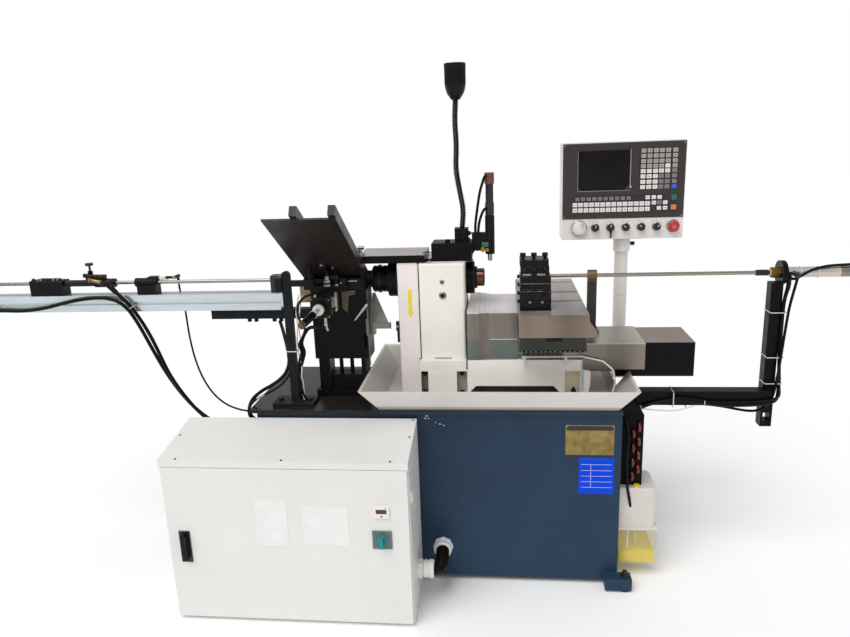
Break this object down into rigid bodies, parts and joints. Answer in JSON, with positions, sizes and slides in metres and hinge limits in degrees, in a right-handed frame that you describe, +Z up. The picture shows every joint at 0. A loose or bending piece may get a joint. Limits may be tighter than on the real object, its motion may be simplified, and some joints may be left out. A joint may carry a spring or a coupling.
{
  "type": "CNC turning lathe",
  "caption": "Small CNC lathe with a gravity magazine and air feed on its left, a stop cylinder on its right, an electric cabinet in front and a swivelling control pendant.",
  "frame": {"origin": "on the floor under the spindle axis, midway along the base", "axes": "+X along the spindle from the feed side to the right, +Y to the back, +Z up"},
  "size_m": [3.063, 0.8243, 1.716],
  "materials": {
    "base_paint": "satin",
    "pan_paint": "satin",
    "bed_paint": "satin",
    "cabinet_paint": "satin",
    "pendant_paint": "satin",
    "black_paint": "semi-gloss",
    "post_paint": "satin",
    "cover_steel": "brushed",
    "tool_steel": "black oxide",
    "bright_steel": "ground",
    "cast": "satin",
    "chrome": "polished",
    "rail_alloy": "anodised",
    "fin_alloy": "satin",
    "brass": "satin",
    "hose_rubber": "matt",
    "belt_rubber": "matt",
    "black_plastic": "matt",
    "grey_plastic": "matt",
    "stop_red": "gloss",
    "teal_plastic": "gloss",
    "pump_grey": "matt",
    "clear_plastic": "clear"
  },
  "bodies": {
    "machine": {"base_cabinet": "base_paint", "levelling_bolts": "bright_steel", "chip_pan": "pan_paint", "bed_casting": "bed_paint", "headstock": "bed_paint", "belt_cover": "bed_paint", "spindle_motor": "cast", "drive_belt": "belt_rubber", "cylinder_guard": "black_paint", "valve_box": "black_paint", "work_lamp": "black_plastic", "nozzle_cylinder": "black_paint", "feed_rail": "rail_alloy", "feed_cylinder": "black_paint", "left_post": "post_paint", "magazine_plate": "post_paint", "pedestal": "post_paint", "gate_cylinder": "rail_alloy", "discharge_chute": "cover_steel", "fixed_way_cover": "cover_steel", "motor_cover": "black_paint", "outrigger": "post_paint", "stop_cylinder": "bright_steel", "pendant_column": "pendant_paint", "cabinet_body": "cabinet_paint", "mounting_plate": "grey_plastic", "cable_glands": "black_plastic", "cooler": "fin_alloy", "lubricator_body": "pump_grey", "lubricator_tank": "clear_plastic", "feed_hose_near": "hose_rubber", "feed_hose_far": "hose_rubber", "rail_air_hose": "hose_rubber", "arm_hose": "hose_rubber"},
    "spindle_rotor": {"spindle": "tool_steel", "rotary_cylinder": "tool_steel"},
    "motor_rotor": {"motor_pulley": "bright_steel"},
    "carriage": {"saddle": "tool_steel", "carriage_covers": "cover_steel"},
    "cross_slide": {"cross_table": "cover_steel", "tool_block": "tool_steel", "turning_tools": "tool_steel"},
    "way_cover_1": {"cover_stage_1": "cover_steel"},
    "way_cover_2": {"cover_stage_2": "cover_steel"},
    "feed_pusher": {"push_rod": "chrome"},
    "gate_bolt": {"gate_rod": "chrome"},
    "stop_bar": {"stop_rod": "chrome"},
    "door": {"cabinet_door": "cabinet_paint"},
    "handle": {"door_handle": "black_plastic"},
    "isolator": {"switch_knob": "teal_plastic"},
    "pendant": {"pendant_box": "pendant_paint"},
    "estop": {"estop_button": "stop_red"},
    "dial": {"handwheel": "black_plastic"},
    "air_knob": {"valve_knob": "black_plastic"},
    "nozzle": {"nozzle_rod": "chrome"},
    "selector_1": {"selector_knob_1": "black_plastic"},
    "selector_2": {"selector_knob_2": "black_plastic"},
    "selector_3": {"selector_knob_3": "black_plastic"},
    "selector_4": {"selector_knob_4": "black_plastic"},
    "selector_5": {"selector_knob_5": "black_plastic"}
  },
  "joints": [
    {"name": "spindle_turn", "type": "hinge", "parent": "machine", "child": "spindle_rotor", "pos_m": [0, 0, 1.017], "axis": [1, 0, 0], "continuous": true},
    {"name": "motor_turn", "type": "hinge", "parent": "machine", "child": "motor_rotor", "pos_m": [0, 0, 0.46], "axis": [1, 0, 0], "continuous": true},
    {"name": "carriage_slide", "type": "slide", "parent": "machine", "child": "carriage", "axis": [1, 0, 0], "range_m": [-0.03, 0.066]},
    {"name": "way_cover_1_slide", "type": "slide", "parent": "machine", "child": "way_cover_1", "axis": [1, 0, 0], "range_m": [-0.0105, 0.0225]},
    {"name": "way_cover_2_slide", "type": "slide", "parent": "machine", "child": "way_cover_2", "axis": [1, 0, 0], "range_m": [-0.0205, 0.0445]},
    {"name": "cross_slide_move", "type": "slide", "parent": "carriage", "child": "cross_slide", "axis": [0, 1, 0], "range_m": [0, 0.1]},
    {"name": "feed_slide", "type": "slide", "parent": "machine", "child": "feed_pusher", "axis": [1, 0, 0], "range_m": [0, 0.15]},
    {"name": "gate_slide", "type": "slide", "parent": "machine", "child": "gate_bolt", "axis": [0, 1, 0], "range_m": [0, 0.04]},
    {"name": "stop_slide", "type": "slide", "parent": "machine", "child": "stop_bar", "axis": [-1, 0, 0], "range_m": [0, 0.15]},
    {"name": "door_hinge", "type": "hinge", "parent": "machine", "child": "door", "pos_m": [-0.051, -0.511, 0.274], "axis": [0, 0, 1], "range_deg": [0, 110]},
    {"name": "handle_turn", "type": "hinge", "parent": "door", "child": "handle", "pos_m": [-0.764, -0.514, 0.305], "axis": [0, 1, 0], "range_deg": [0, 90]},
    {"name": "isolator_turn", "type": "hinge", "parent": "door", "child": "isolator", "pos_m": [-0.135, -0.515, 0.308], "axis": [0, 1, 0], "range_deg": [0, 90]},
    {"name": "pendant_swivel", "type": "hinge", "parent": "machine", "child": "pendant", "pos_m": [0.672, 0.24, 1.062], "axis": [0, 0, 1], "range_deg": [-90, 90]},
    {"name": "estop_press", "type": "slide", "parent": "pendant", "child": "estop", "axis": [0, 1, 0], "range_m": [0, 0.006], "stiffness_N_per_m": 800},
    {"name": "dial_turn", "type": "hinge", "parent": "pendant", "child": "dial", "pos_m": [0.511, 0.187, 1.155], "axis": [0, 1, 0], "continuous": true},
    {"name": "selector_1_turn", "type": "hinge", "parent": "pendant", "child": "selector_1", "pos_m": [0.5685, 0.187, 1.155], "axis": [0, 1, 0], "range_deg": [-60, 60]},
    {"name": "selector_2_turn", "type": "hinge", "parent": "pendant", "child": "selector_2", "pos_m": [0.622, 0.187, 1.155], "axis": [0, 1, 0], "range_deg": [0, 90]},
    {"name": "selector_3_turn", "type": "hinge", "parent": "pendant", "child": "selector_3", "pos_m": [0.6755, 0.187, 1.155], "axis": [0, 1, 0], "range_deg": [-45, 45]},
    {"name": "selector_4_turn", "type": "hinge", "parent": "pendant", "child": "selector_4", "pos_m": [0.729, 0.187, 1.155], "axis": [0, 1, 0], "range_deg": [-45, 45]},
    {"name": "selector_5_turn", "type": "hinge", "parent": "pendant", "child": "selector_5", "pos_m": [0.7825, 0.187, 1.155], "axis": [0, 1, 0], "range_deg": [-120, 120]},
    {"name": "air_knob_turn", "type": "hinge", "parent": "machine", "child": "air_knob", "pos_m": [-1.264, 0, 1.06], "axis": [0, 0, 1], "range_deg": [0, 720]},
    {"name": "nozzle_slide", "type": "slide", "parent": "machine", "child": "nozzle", "axis": [0, 0, -1], "range_m": [0, 0.025]}
  ],
  "couplings": [
    {"joint": "motor_turn", "follows": "spindle_turn", "ratio": 1.2649},
    {"joint": "way_cover_1_slide", "follows": "carriage_slide", "ratio": 0.3333},
    {"joint": "way_cover_2_slide", "follows": "carriage_slide", "ratio": 0.6667}
  ]
}
